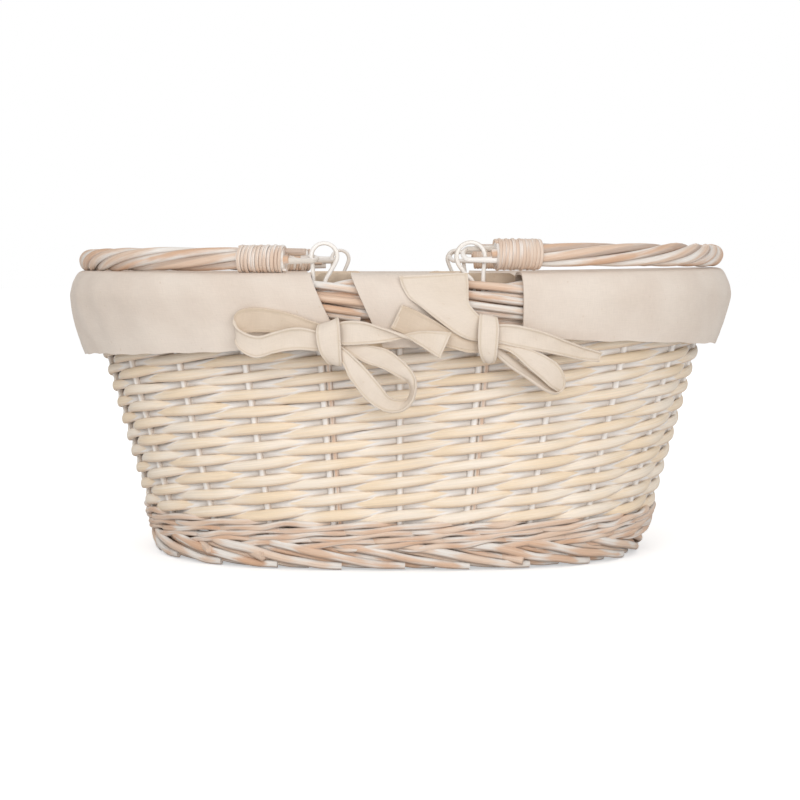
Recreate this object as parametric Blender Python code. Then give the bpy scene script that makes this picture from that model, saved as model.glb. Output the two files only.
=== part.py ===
"""Oval willow shopping basket with a tied cotton lining and two folding swing handles.

Frame: origin at the centre of the footprint on the floor, +X along the length, -Y the front
with the tied bows, +Z up. Metres. The handles lie folded outwards on the rim at rest, and
each one swings up about a line along Y through the middles of its two rim rings.
"""

import math

import bmesh
import bpy
import numpy as np
from mathutils import Matrix, Vector

# ---- driving dimensions -------------------------------------------------------------------
SQUARENESS = 2.4        # superellipse exponent of the plan outline: 2 is an ellipse
BASE_HALF_LENGTH = 0.1667   # outside of the wall, run down to the floor
BASE_HALF_DEPTH = 0.1280
FLARE_LENGTH = 0.276    # how far the wall leans out along X per metre of height
FLARE_DEPTH = 0.225
RIM_HALF_LENGTH = 0.2165    # reference outline of the rim border and the lining's collar
RIM_HALF_DEPTH = 0.1685
PLAN_STEPS = 48         # sides of every ring round the plan, two to each stake

FOOT_TOP = 0.0145
BOTTOM_WALE_TOP = 0.0315
WEAVE_TOP = 0.1530
TOP_WALE_TOP = 0.1665
BORDER_BOTTOM = 0.1668
BORDER_TOP = 0.1850
GAP = 0.0003            # left between pieces that touch

STAKE_COUNT = 24
STAKE_RADIUS = 0.0020
STAKE_INSET = 0.0057    # stake centre line, in from the outside of the wall
STAKE_END_GAP = 0.0009  # room for the square-cut end of a leaning stake
HOLE_PLAY = 0.0004      # added to a rod's radius for the hole it passes through
ROD_SIDES = 6

BASE_BOTTOM = 0.0148
BASE_TOP = 0.0268
BASE_INSET = 0.0129
LONG_STICK_RADIUS = 0.00275
CROSS_STICK_RADIUS = 0.0045
LONG_STICK_PLACES = (-0.036, 0.0, 0.036)
CROSS_STICK_PLACES = (-0.096, -0.032, 0.032, 0.096)

RING_RADIUS = 0.0082    # centre line of the round part of a rim ring
CANE_RADIUS = 0.0014
RING_LEG_SPREAD = 0.0061
RING_LEG_BOTTOM = 0.1720
RING_Y = 0.1610         # rim rings stand in the planes y = -RING_Y and y = +RING_Y
HINGE_Z = 0.2000
EYE_HALF_WIDTH = 0.0044
EYE_LEG_OFFSET = 0.0040     # of each leg from the middle of the binding it is bound into

# One row per handle: ring_x is the hinge axis; bar_x is the end of the eye that hangs in the
# ring; binding_x is where the binding starts and ends; end_x is the outermost centre line;
# z is the height of the hoop's centre line as it lies on the collar.
HANDLES = {
    "left": {"ring_x": -0.0465, "bar_x": -0.0511, "binding_x": (-0.0705, -0.0990),
             "end_x": -0.2122, "z": 0.1982, "binding_radius": 0.0087},
    "right": {"ring_x": 0.0435, "bar_x": 0.0387, "binding_x": (0.0585, 0.0860),
              "end_x": 0.2140, "z": 0.2010, "binding_radius": 0.0097},
}
HOOP_RADIUS = 0.0075
HOOP_HALF_DEPTH = RIM_HALF_DEPTH - 0.0045
HOOP_STEPS = 28
HOOP_INSET = 0.0100     # the hoop's rods stop this far inside the binding's ring end
EYE_LEG_INSET = 0.0085  # and the eye's legs stop this far inside it, short of the rods

LINING_THICKNESS = 0.0015
LINING_BOTTOM = 0.0274
LINING_TOP = 0.1730
LEFT_HEM = 0.1315       # height of the collar's hem at the ends of the basket
RIGHT_HEM = 0.1370
HEM_LIFT = 0.0085       # how much higher the hem is at the front and the rear
FRONT_SLOTS = ((-0.054, -0.024), (0.037, 0.075))    # gaps in the collar where the rings pass

RIBBON_DEPTH = 0.0070
LEFT_BOW_KNOT = (-0.042, 0.148)
LEFT_BOW_OUTLINE = (
    (-0.008, 0.008), (-0.030, 0.022), (-0.055, 0.022), (-0.061, 0.012), (-0.045, -0.004),
    (-0.010, -0.008), (0.004, -0.022), (0.028, -0.044), (0.044, -0.046), (0.054, -0.036),
    (0.048, -0.018), (0.070, -0.013), (0.075, -0.004), (0.060, 0.002), (0.010, 0.010),
)
RIGHT_BOW_KNOT = (0.053, 0.150)
RIGHT_BOW_OUTLINE = (
    (-0.008, 0.008), (-0.030, 0.024), (-0.050, 0.026), (-0.055, 0.018), (-0.030, 0.010),
    (-0.008, -0.008), (0.016, -0.028), (0.036, -0.038), (0.048, -0.032), (0.042, -0.020),
    (0.068, -0.020), (0.072, -0.008), (0.040, 0.004), (0.008, 0.010),
)

COLOURS = {
    "peeled_willow": ((0.80, 0.66, 0.47), 0.62),
    "white_willow": ((0.80, 0.76, 0.70), 0.70),
    "washed_willow": ((0.62, 0.49, 0.40), 0.66),
    "cane": ((0.82, 0.78, 0.70), 0.50),
    "cotton": ((0.79, 0.70, 0.59), 0.90),
}


# ---- scene and material helpers -----------------------------------------------------------
def clear_scene():
    for item in list(bpy.data.objects):
        bpy.data.objects.remove(item, do_unlink=True)


def material(name, kind):
    colour, roughness = COLOURS[kind]
    made = bpy.data.materials.new(name)
    made.use_nodes = True
    shader = made.node_tree.nodes["Principled BSDF"]
    shader.inputs["Base Color"].default_value = (*colour, 1.0)
    shader.inputs["Roughness"].default_value = roughness
    shader.inputs["Metallic"].default_value = 0.0
    return made


def add_object(name, points, faces, kind, origin=(0.0, 0.0, 0.0), smooth=True):
    """A mesh object with its origin at the given place; points are world coordinates."""
    shift = Vector(origin)
    mesh = bpy.data.meshes.new(name)
    mesh.from_pydata([Vector(point) - shift for point in points], [], faces)
    mesh.validate()
    form = bmesh.new()
    form.from_mesh(mesh)
    bmesh.ops.recalc_face_normals(form, faces=form.faces)
    form.to_mesh(mesh)
    form.free()
    if smooth:
        mesh.shade_smooth()
        mesh.set_sharp_from_angle(angle=math.radians(40.0))
    item = bpy.data.objects.new(name, mesh)
    item.location = shift
    item.data.materials.append(material(name + "_finish", kind))
    bpy.context.collection.objects.link(item)
    return item


def add_cutter(name, points, faces):
    cutter = add_object(name, points, faces, "white_willow", smooth=False)
    cutter.hide_render = True
    cutter.display_type = "WIRE"
    return cutter


def cut(item, cutter):
    boolean = item.modifiers.new("cut_" + cutter.name, "BOOLEAN")
    boolean.operation = "DIFFERENCE"
    boolean.solver = "EXACT"
    boolean.object = cutter


# ---- plan outline ------------------------------------------------------------------------
def plan_point(angle, half_length, half_depth):
    power = 2.0 / SQUARENESS
    along = math.copysign(abs(math.cos(angle)) ** power, math.cos(angle))
    across = math.copysign(abs(math.sin(angle)) ** power, math.sin(angle))
    return half_length * along, half_depth * across


def even_angle_table():
    """Plan angles and the share of the way round from the front centre that each one is at."""
    angles = np.linspace(-math.pi / 2.0, 1.5 * math.pi, 2881)
    outline = np.array([plan_point(a, RIM_HALF_LENGTH, RIM_HALF_DEPTH) for a in angles])
    steps = np.hypot(*np.diff(outline, axis=0).T)
    shares = np.concatenate(([0.0], np.cumsum(steps))) / steps.sum()
    return angles, shares


ANGLES, SHARES = even_angle_table()


def angle_at(share):
    """Plan angle at a share of the way round, counted from the front centre towards +X."""
    turns = math.floor(share)
    return float(np.interp(share - turns, SHARES, ANGLES)) + 2.0 * math.pi * turns


def share_at_front(x, half_length):
    """Share of the way round where the front half of the outline reaches x."""
    power = SQUARENESS / 2.0
    cosine = math.copysign(min(1.0, abs(x / half_length)) ** power, x)
    angle = -math.acos(cosine)
    if angle < -math.pi / 2.0:
        return float(np.interp(angle + 2.0 * math.pi, ANGLES, SHARES)) - 1.0
    return float(np.interp(angle, ANGLES, SHARES))


def front_y(x, half_length, half_depth):
    """Distance of the outline from the long axis at x."""
    return half_depth * (1.0 - abs(x / half_length) ** SQUARENESS) ** (1.0 / SQUARENESS)


def wall_axes(z, outset):
    """Half length and half depth of the flared wall at a height, moved outwards by outset."""
    return (BASE_HALF_LENGTH + FLARE_LENGTH * z + outset,
            BASE_HALF_DEPTH + FLARE_DEPTH * z + outset)


def wall_profile(pairs):
    return [(*wall_axes(z, outset), z) for outset, z in pairs]


def rim_profile(pairs):
    return [(RIM_HALF_LENGTH + outset, RIM_HALF_DEPTH + outset, z) for outset, z in pairs]


# ---- swept shapes ------------------------------------------------------------------------
def plan_ring(name, profile, kind, start=0.0, end=1.0, steps=PLAN_STEPS):
    """Sweep a closed profile of (half length, half depth, z) round the plan outline.

    A profile that changes on the way is given as a function of the share of the way round.
    """
    closed = end - start >= 1.0
    rows = steps if closed else steps + 1
    points = []
    for row in range(rows):
        share = start + (end - start) * row / steps
        section = profile(share) if callable(profile) else profile
        for half_length, half_depth, z in section:
            points.append((*plan_point(angle_at(share), half_length, half_depth), z))
    width = len(section)
    faces = []
    for row in range(steps):
        here = row * width
        there = ((row + 1) % rows) * width
        for column in range(width):
            across = (column + 1) % width
            faces.append((here + column, there + column, there + across, here + across))
    if not closed:
        faces.append(tuple(range(width)))
        faces.append(tuple(steps * width + column for column in range(width)))
    return add_object(name, points, faces, kind)


def tube_rows(path, binormal, radius, sides):
    """Rings of points round a flat path whose plane has the given unit normal."""
    normal_to_plane = Vector(binormal)
    rows = []
    for index, point in enumerate(path):
        before = Vector(path[max(index - 1, 0)])
        after = Vector(path[min(index + 1, len(path) - 1)])
        side = normal_to_plane.cross((after - before).normalized())
        row = []
        for corner in range(sides):
            turn = 2.0 * math.pi * corner / sides
            spoke = side * math.cos(turn) + normal_to_plane * math.sin(turn)
            row.append(Vector(point) + spoke * radius)
        rows.append(row)
    return rows


def skin_faces(row_count, sides, first=0):
    faces = []
    for row in range(row_count - 1):
        for corner in range(sides):
            across = (corner + 1) % sides
            here = first + row * sides
            there = here + sides
            faces.append((here + corner, there + corner, there + across, here + across))
    return faces


def rod_mesh(path, binormal, radius, sides):
    rows = tube_rows(path, binormal, radius, sides)
    points = [point for row in rows for point in row]
    faces = skin_faces(len(rows), sides)
    faces.append(tuple(range(sides)))
    faces.append(tuple(len(points) - sides + corner for corner in range(sides)))
    return points, faces


def join_meshes(parts):
    points = []
    faces = []
    for part_points, part_faces in parts:
        shift = len(points)
        points += part_points
        faces += [tuple(shift + corner for corner in face) for face in part_faces]
    return points, faces


def rod(name, path, binormal, radius, kind, sides=ROD_SIDES, origin=(0.0, 0.0, 0.0)):
    points, faces = rod_mesh(path, binormal, radius, sides)
    return add_object(name, points, faces, kind, origin)


def sleeve(name, path, binormal, outer, inner, sides, kind, origin):
    """A tube with a wall, open at both ends."""
    outside = [point for row in tube_rows(path, binormal, outer, sides) for point in row]
    inside = [point for row in tube_rows(path, binormal, inner, sides) for point in row]
    count = len(outside)
    faces = skin_faces(len(path), sides) + skin_faces(len(path), sides, count)
    for start in (0, count - sides):
        for corner in range(sides):
            across = (corner + 1) % sides
            faces.append((start + corner, start + across,
                          count + start + across, count + start + corner))
    return add_object(name, outside + inside, faces, kind, origin)


# ---- willow body -------------------------------------------------------------------------
def stake_path(share, low, high):
    angle = angle_at(share)
    ends = []
    for z in (low, high):
        ends.append((*plan_point(angle, *wall_axes(z, -STAKE_INSET)), z))
    return ends


def stake_binormal(share):
    angle = angle_at(share)
    x, y = plan_point(angle, 1.0, 1.0)
    return Vector((-y, x, 0.0)).normalized()


def add_stakes():
    holes = []
    for index in range(STAKE_COUNT):
        share = index / STAKE_COUNT
        across = stake_binormal(share)
        path = stake_path(share, FOOT_TOP + STAKE_END_GAP, BORDER_BOTTOM - STAKE_END_GAP)
        rod(f"stake_{index + 1:02d}", path, across, STAKE_RADIUS, "white_willow")
        path = stake_path(share, FOOT_TOP - 0.006, TOP_WALE_TOP + 0.006)
        holes.append(rod_mesh(path, across, STAKE_RADIUS + HOLE_PLAY, ROD_SIDES))
    return add_cutter("stake_holes", *join_meshes(holes))


def add_wall(stake_holes):
    foot = wall_profile((
        (-0.0100, 0.0), (-0.0035, 0.0), (0.0010, 0.0035), (0.0010, 0.0115),
        (-0.0015, FOOT_TOP), (-0.0130, FOOT_TOP), (-0.0140, 0.0115), (-0.0140, 0.0035),
    ))
    plan_ring("foot_border", foot, "washed_willow")
    low = FOOT_TOP + GAP
    bottom_wale = wall_profile((
        (-0.0125, low), (0.0005, low), (0.0015, low + 0.004), (0.0015, BOTTOM_WALE_TOP - 0.003),
        (0.0005, BOTTOM_WALE_TOP), (-0.0125, BOTTOM_WALE_TOP),
    ))
    cut(plan_ring("bottom_wale", bottom_wale, "washed_willow"), stake_holes)
    low = BOTTOM_WALE_TOP + GAP
    weave = wall_profile(((-0.0115, low), (0.0, low), (0.0, WEAVE_TOP), (-0.0115, WEAVE_TOP)))
    cut(plan_ring("side_weave", weave, "peeled_willow"), stake_holes)
    low = WEAVE_TOP + GAP
    top_wale = wall_profile((
        (-0.0115, low), (0.0015, low), (0.0015, TOP_WALE_TOP), (-0.0115, TOP_WALE_TOP),
    ))
    cut(plan_ring("top_wale", top_wale, "washed_willow"), stake_holes)


def add_rim_border(leg_holes):
    border = rim_profile((
        (-0.0110, BORDER_BOTTOM), (0.0030, BORDER_BOTTOM), (0.0065, 0.1703), (0.0065, 0.1815),
        (0.0020, BORDER_TOP), (-0.0110, BORDER_TOP), (-0.0150, 0.1815), (-0.0150, 0.1703),
    ))
    cut(plan_ring("rim_border", border, "washed_willow"), leg_holes)


def stick_path(place, half_reach, z, along_x):
    if along_x:
        return [(-half_reach, place, z), (half_reach, place, z)]
    return [(place, -half_reach, z), (place, half_reach, z)]


def add_base():
    half_length, half_depth = wall_axes(BASE_BOTTOM, -BASE_INSET)
    middle = (BASE_BOTTOM + BASE_TOP) / 2.0
    up = (0.0, 0.0, 1.0)
    points = []
    for z in (BASE_BOTTOM, BASE_TOP):
        for step in range(PLAN_STEPS):
            x, y = plan_point(angle_at(step / PLAN_STEPS), half_length, half_depth)
            points.append((x, y, z))
    faces = skin_faces(2, PLAN_STEPS)
    faces.append(tuple(range(PLAN_STEPS)))
    faces.append(tuple(range(PLAN_STEPS, 2 * PLAN_STEPS)))
    base = add_object("base_weave", points, faces, "peeled_willow")

    long_cuts = []
    for place in LONG_STICK_PLACES:
        path = stick_path(place, half_length + 0.01, middle, True)
        long_cuts.append(rod_mesh(path, up, LONG_STICK_RADIUS + HOLE_PLAY, 8))
    long_holes = add_cutter("long_stick_holes", *join_meshes(long_cuts))
    cross_cuts = []
    for place in CROSS_STICK_PLACES:
        path = stick_path(place, half_depth + 0.01, middle, False)
        cross_cuts.append(rod_mesh(path, up, CROSS_STICK_RADIUS + HOLE_PLAY, 8))
    cross_holes = add_cutter("cross_stick_holes", *join_meshes(cross_cuts))
    cut(base, long_holes)
    cut(base, cross_holes)

    for index, place in enumerate(LONG_STICK_PLACES):
        reach = front_y(place, half_depth, half_length) - 0.002
        rod(f"base_long_stick_{index + 1}", stick_path(place, reach, middle, True), up,
            LONG_STICK_RADIUS, "white_willow", 8)
    for index, place in enumerate(CROSS_STICK_PLACES):
        reach = front_y(place, half_length, half_depth) - 0.002
        stick = rod(f"base_cross_stick_{index + 1}", stick_path(place, reach, middle, False),
                    up, CROSS_STICK_RADIUS, "white_willow", 8)
        cut(stick, long_holes)


# ---- rim rings and handles ----------------------------------------------------------------
def ring_path(x, y):
    """A round loop open at the bottom, whose two ends run straight down into the border."""
    half_spread = RING_LEG_SPREAD / 2.0
    opening = math.asin(half_spread / RING_RADIUS)
    points = [(x + half_spread, y, RING_LEG_BOTTOM)]
    first = -math.pi / 2.0 + opening
    last = 1.5 * math.pi - opening
    steps = 18
    for step in range(steps + 1):
        angle = first + (last - first) * step / steps
        points.append((x + RING_RADIUS * math.cos(angle), y,
                       HINGE_Z + RING_RADIUS * math.sin(angle)))
    points.append((x - half_spread, y, RING_LEG_BOTTOM))
    return points


def add_rim_rings():
    leg_cuts = []
    for side, row in HANDLES.items():
        for place, y in (("front", -RING_Y), ("rear", RING_Y)):
            rod(f"rim_ring_{place}_{side}", ring_path(row["ring_x"], y), (0.0, 1.0, 0.0),
                CANE_RADIUS, "cane")
            for offset in (-RING_LEG_SPREAD / 2.0, RING_LEG_SPREAD / 2.0):
                x = row["ring_x"] + offset
                path = [(x, y, RING_LEG_BOTTOM - GAP), (x, y, BORDER_TOP + 0.01)]
                hole = rod_mesh(path, (0.0, 1.0, 0.0), CANE_RADIUS + HOLE_PLAY, ROD_SIDES)
                leg_cuts.append(hole)
    return add_cutter("ring_leg_holes", *join_meshes(leg_cuts))


def hoop_point(share, row):
    """Point on a handle's centre line, which runs above the border, from front to rear."""
    x, y = plan_point(angle_at(share), abs(row["end_x"]), HOOP_HALF_DEPTH)
    return (math.copysign(abs(x), row["end_x"]), y, row["z"])


def hoop_path(row, start_x, steps, finish_x=None):
    """From start_x at the front round to the rear, or only to finish_x where it is given."""
    reach = abs(row["end_x"])
    start = share_at_front(abs(start_x), reach)
    finish = 0.5 - start if finish_x is None else share_at_front(abs(finish_x), reach)
    return [hoop_point(start + (finish - start) * step / steps, row)
            for step in range(steps + 1)]


def mirror_front_to_rear(path):
    return [(x, -y, z) for x, y, z in path]


def eye_path(row, y):
    """Two legs from inside the binding to the round end that hangs in the rim ring."""
    outward = math.copysign(1.0, row["end_x"])
    mouth = row["binding_x"][0]
    leg_end = mouth + outward * EYE_LEG_INSET
    legs = []
    for x in (leg_end, mouth):
        middle = math.copysign(front_y(x, row["end_x"], HOOP_HALF_DEPTH), y)
        legs.append((x, middle))
    turn_x = row["bar_x"] + outward * EYE_HALF_WIDTH
    points = [(x, middle - EYE_LEG_OFFSET, row["z"]) for x, middle in legs]
    steps = 8
    for step in range(steps + 1):
        angle = -math.pi / 2.0 + math.pi * step / steps
        points.append((turn_x - outward * EYE_HALF_WIDTH * math.cos(angle),
                       y + EYE_HALF_WIDTH * math.sin(angle), row["z"]))
    points += [(x, middle + EYE_LEG_OFFSET, row["z"]) for x, middle in reversed(legs)]
    return points


def add_handle(side, row):
    up = (0.0, 0.0, 1.0)
    pivot = (row["ring_x"], 0.0, HINGE_Z)
    near, far = row["binding_x"]
    outward = math.copysign(1.0, row["end_x"])
    hoop = hoop_path(row, near + outward * HOOP_INSET, HOOP_STEPS)
    rod(f"handle_{side}_hoop", hoop, up, HOOP_RADIUS, "washed_willow", 8, pivot)
    wrap = hoop_path(row, near, 4, far)
    for place, y, path in (("front", -RING_Y, wrap),
                           ("rear", RING_Y, mirror_front_to_rear(wrap))):
        sleeve(f"handle_{side}_binding_{place}", path, up, row["binding_radius"],
               HOOP_RADIUS + HOLE_PLAY, 10, "cane", pivot)
        rod(f"handle_{side}_eye_{place}", eye_path(row, y), up, CANE_RADIUS, "cane",
            ROD_SIDES, pivot)


# ---- cotton lining ------------------------------------------------------------------------
def add_lining_bag():
    low_axes = wall_axes(LINING_BOTTOM, -0.0140)
    top_axes = (RIM_HALF_LENGTH - 0.0157, RIM_HALF_DEPTH - 0.0157)
    inner_low = [axis - LINING_THICKNESS for axis in low_axes]
    inner_top = [axis - LINING_THICKNESS for axis in top_axes]
    rows = ((low_axes, LINING_BOTTOM), (top_axes, LINING_TOP), (inner_top, LINING_TOP),
            (inner_low, LINING_BOTTOM + LINING_THICKNESS))
    points = []
    for axes, z in rows:
        for step in range(PLAN_STEPS):
            points.append((*plan_point(angle_at(step / PLAN_STEPS), *axes), z))
    faces = skin_faces(len(rows), PLAN_STEPS)
    faces.append(tuple(range(PLAN_STEPS)))
    faces.append(tuple(range(3 * PLAN_STEPS, 4 * PLAN_STEPS)))
    add_object("lining_bag", points, faces, "cotton")


def collar_section(end_hem):
    """The collar's section as a function: its hem is lowest at the basket's ends."""
    def section(share):
        hem = end_hem + HEM_LIFT * math.cos(2.0 * math.pi * share) ** 2
        hem_outset = 0.0086 - 0.19 * (0.1695 - hem)
        return rim_profile((
            (-0.0172, 0.1738), (-0.0172, 0.1836), (-0.0120, 0.1888), (0.0030, 0.1888),
            (0.0086, 0.1836), (0.0086, 0.1695), (hem_outset, hem),
            (hem_outset - LINING_THICKNESS, hem + 0.0003), (0.0071, 0.1697), (0.0071, 0.1829),
            (0.0024, 0.1872), (-0.0114, 0.1872), (-0.0157, 0.1829), (-0.0157, 0.1738),
        ))
    return section


def add_collar():
    (left_low, left_high), (right_low, right_high) = FRONT_SLOTS
    reach = RIM_HALF_LENGTH
    front = (share_at_front(left_high, reach), share_at_front(right_low, reach))
    right_end = (share_at_front(right_high, reach), 0.5 + share_at_front(left_low, reach))
    panels = {
        "collar_front": (front, 6, LEFT_HEM),
        "collar_rear": ((front[0] + 0.5, front[1] + 0.5), 6, LEFT_HEM),
        "collar_right_end": (right_end, 22, RIGHT_HEM),
        "collar_left_end": ((right_end[0] + 0.5, right_end[1] + 0.5), 22, LEFT_HEM),
    }
    for name, ((start, end), steps, hem) in panels.items():
        plan_ring(name, collar_section(hem), "cotton", start, end, steps)


def bow_mesh(knot, outline):
    """A flat closed solid of the bow's outline, lying against the collar at its knot."""
    knot_x, knot_z = knot
    reach = RIM_HALF_LENGTH + 0.0086
    depth = RIM_HALF_DEPTH + 0.0086
    touch = front_y(knot_x, reach, depth)
    rise = (front_y(knot_x + 0.001, reach, depth) - front_y(knot_x - 0.001, reach, depth))
    lean = Matrix.Rotation(-math.atan(rise / 0.002), 3, "Z")
    points = []
    for layer in (0.0006, 0.0006 + RIBBON_DEPTH):
        for x, z in outline:
            local = lean @ Vector((x, -layer, 0.0))
            points.append((knot_x + local.x, -touch + local.y, knot_z + z))
    count = len(outline)
    faces = [tuple(range(count)), tuple(range(count, 2 * count))]
    faces += [(step, (step + 1) % count, count + (step + 1) % count, count + step)
              for step in range(count)]
    return points, faces


def add_bows():
    for side, knot, outline in (("left", LEFT_BOW_KNOT, LEFT_BOW_OUTLINE),
                                ("right", RIGHT_BOW_KNOT, RIGHT_BOW_OUTLINE)):
        points, faces = bow_mesh(knot, outline)
        add_object(f"bow_front_{side}", points, faces, "cotton", smooth=False)
        other = "right" if side == "left" else "left"
        turned = [(-x, -y, z) for x, y, z in points]
        add_object(f"bow_rear_{other}", turned, faces, "cotton", smooth=False)


def main():
    clear_scene()
    stake_holes = add_stakes()
    add_wall(stake_holes)
    add_base()
    leg_holes = add_rim_rings()
    add_rim_border(leg_holes)
    for side, row in HANDLES.items():
        add_handle(side, row)
    add_lining_bag()
    add_collar()
    add_bows()


main()
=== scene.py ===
"""Looks of the oval willow basket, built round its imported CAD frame.

Woven rods, twisted hoops, cane rings and a tied cotton lining, in metres: +X runs along the
basket's length, -Y is the front with the bows and +Z is up. Shares of the way round count from
the front centre towards +X, and 24 stakes divide the way round into equal spans.
"""

import math

import bpy
import numpy as np
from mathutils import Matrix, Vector


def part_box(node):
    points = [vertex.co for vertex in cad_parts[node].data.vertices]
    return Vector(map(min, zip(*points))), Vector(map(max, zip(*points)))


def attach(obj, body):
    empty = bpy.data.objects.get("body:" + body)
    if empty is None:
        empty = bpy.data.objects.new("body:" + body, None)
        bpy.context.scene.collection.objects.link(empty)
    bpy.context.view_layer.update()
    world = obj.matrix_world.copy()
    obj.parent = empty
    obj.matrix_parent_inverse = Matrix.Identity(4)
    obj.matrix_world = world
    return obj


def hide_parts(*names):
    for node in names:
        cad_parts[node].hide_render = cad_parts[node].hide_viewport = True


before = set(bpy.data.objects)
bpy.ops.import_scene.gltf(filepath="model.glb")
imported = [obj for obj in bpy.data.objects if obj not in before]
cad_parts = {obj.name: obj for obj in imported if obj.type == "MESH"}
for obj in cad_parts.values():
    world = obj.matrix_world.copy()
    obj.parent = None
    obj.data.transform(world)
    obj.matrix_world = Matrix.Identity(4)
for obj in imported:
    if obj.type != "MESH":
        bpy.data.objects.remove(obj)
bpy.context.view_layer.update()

# ---- driving dimensions ----
SQUARENESS = 2.4  # superellipse exponent of the plan outline, as in the CAD
STAKES = 24
STAKE_INSET = 0.0046  # stake centre line, in from the outside of the wall
STAKE_RADIUS = 0.0021
END_FULLNESS = 0.0012  # how far the weaving bellies out at the basket's two ends
ROD_SIDES = 10
FOOT_CORNER = 0.0033  # how far the foot stands proud of the wall at its four corners
FOOT_TUCK = 0.0027  # how far it is tucked in under the basket's ends,
FOOT_TUCK_LEAN = 0.0016  # and how much more so at the right end, or less at the left

RAND_RISE = 0.00556  # height a weaving rod gains at each stake
RAND_SWING = 0.0026  # how far it passes outside or inside the stake line
RAND_HALF_HEIGHT = 0.0034
RAND_HALF_DEPTH = 0.0018
RAND_SIDES = 14
WALE_SWING = 0.0045  # how far a waling rod passes outside or inside the stake line
WALE_HALF_RISE = 0.0026
WALE_PITCH = 0.0055  # from one round of waling to the next
WALE_ROD_RADIUS = 0.0020
LINER_OFFSET = 0.004  # from a ring stake to the liner beside it, a share of the way round
BASE_PITCH = 0.0043  # from one round of the base weave to the next
BASE_FIRST = 0.008  # half depth of its innermost round

WAYS = {"front": -1.0, "rear": 1.0}  # signs of Y and of X
ENDS = {"left": -1.0, "right": 1.0}
RING_CANE_RADIUS = 0.0014
EYE_CANE_RADIUS = 0.0016
EYE_HALF_WIDTH = 0.0044
RING_Y = 0.1610
HANDLES = {
    "left": {"ring_x": -0.0465, "bar_x": -0.0511, "binding_x": (-0.0705, -0.0990),
             "end_x": -0.2122, "legs": (0.0067, -0.0004), "wraps": 12.6, "radius": 0.0087,
             "eye_tilt": 0.0012, "sag": 0.0008, "stub": 0.0125, "binding_paint": (0.15, 0.5),
             "rings": {"front": 0.0079, "rear": 0.0066}},
    "right": {"ring_x": 0.0435, "bar_x": 0.0387, "binding_x": (0.0585, 0.0860),
              "end_x": 0.2140, "legs": (0.0076, 0.0014), "wraps": 13.4, "radius": 0.0097,
              "eye_tilt": 0.0034, "sag": 0.0, "stub": 0.0, "binding_paint": (0.35, 0.7),
              "rings": {"front": 0.0088, "rear": 0.0066}},
}
HOOP_HALF_DEPTH = 0.1640
HOOP_RADIUS = 0.0075
HOOP_RODS = 5
HOOP_ROD_RADIUS = 0.00285

CLOTH = 0.0010  # thickness of the hemmed cotton
FRONT_SLOTS = ((-0.0535, -0.0285), (0.037, 0.075))  # gaps in the collar at its top
HEMS = {"left": 0.1350, "right": 0.1415}  # collar hem height at the basket's ends
HEM_LIFT = 0.0095  # how much higher the hem is at the front and the rear
COLLAR_COLUMNS = 64  # points from the collar's inner edge over the rim to its hem
COLLAR_WIDTH = 0.085  # of the cloth from that edge to the hem
COLLAR_SLANT = 0.0155  # how far a panel's cut edge leans, as a share of the way round
ROUND_LENGTH = 1.17  # length of cloth that goes once round the rim
INNER_LENGTH = 1.1  # and once round inside the wall
SEAM_INSET = 0.0014  # from a tape's edge to its line of stitches
NO_SEAM = 1.0  # an inset beyond any sheet's middle

CAMERA_DISTANCE = 1.35  # from the long axis
CAMERA_HEIGHT = 0.195
CAMERA_LENS = 87.0
CAMERA_DIP = math.radians(4.02)
LAMP_AIM = 0.1  # height on the basket's axis that the lamps point at


# ---- frame measures ----
def middle_height(node):
    low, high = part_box(node)
    return (low.z + high.z) / 2.0


def outer_rim(node, pick):
    """Half length, half depth and height of the highest or lowest edge of a ring node."""
    points = np.array([v.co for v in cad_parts[node].data.vertices])
    level = pick(points[:, 2])
    edge = points[np.abs(points[:, 2] - level) < 0.0004]
    return np.abs(edge[:, 0]).max(), np.abs(edge[:, 1]).max(), float(level)


WEAVE_LOW = outer_rim("side_weave", np.min)
WEAVE_HIGH = outer_rim("side_weave", np.max)
WALL_HEIGHT = WEAVE_HIGH[2] - WEAVE_LOW[2]
FLARE = [(WEAVE_HIGH[axis] - WEAVE_LOW[axis]) / WALL_HEIGHT for axis in (0, 1)]
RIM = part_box("rim_border")[1]


def superellipse(angle, axes):
    """Points at plan angles on an outline whose axes are its half length and half depth."""
    power = 2.0 / SQUARENESS
    x = axes[0] * np.sign(np.cos(angle)) * np.abs(np.cos(angle)) ** power
    y = axes[1] * np.sign(np.sin(angle)) * np.abs(np.sin(angle)) ** power
    return x, y


def share_table():
    """Plan angles, and the share of the way round at which each one lies."""
    angles = np.linspace(-math.pi / 2.0, 1.5 * math.pi, 5761)
    x, y = superellipse(angles, (RIM.x, RIM.y))
    steps = np.hypot(np.diff(x), np.diff(y))
    return angles, np.concatenate(([0.0], np.cumsum(steps))) / steps.sum()


ANGLES, SHARES = share_table()


def plan(share, axes):
    """Points at shares of the way round a plan outline."""
    return superellipse(np.interp(np.mod(share, 1.0), SHARES, ANGLES), axes)


def straight_out(x, y, axes):
    """Unit directions straight out of a plan outline at points on it."""
    power = SQUARENESS - 1.0
    out_x = np.sign(x) * np.abs(x / axes[0]) ** power / axes[0]
    out_y = np.sign(y) * np.abs(y / axes[1]) ** power / axes[1]
    size = np.hypot(out_x, out_y)
    return out_x / size, out_y / size


def on_outline(share, z, out, axes):
    """Points out from a plan outline at height z, and their outward directions."""
    share, z, out = np.broadcast_arrays(np.asarray(share, float), z, out)
    x, y = plan(share, axes)
    out_x, out_y = straight_out(x, y, axes)
    points = np.stack([x + out * out_x, y + out * out_y, z], axis=-1)
    return points, np.stack([out_x, out_y, np.zeros_like(out_x)], axis=-1)


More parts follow.
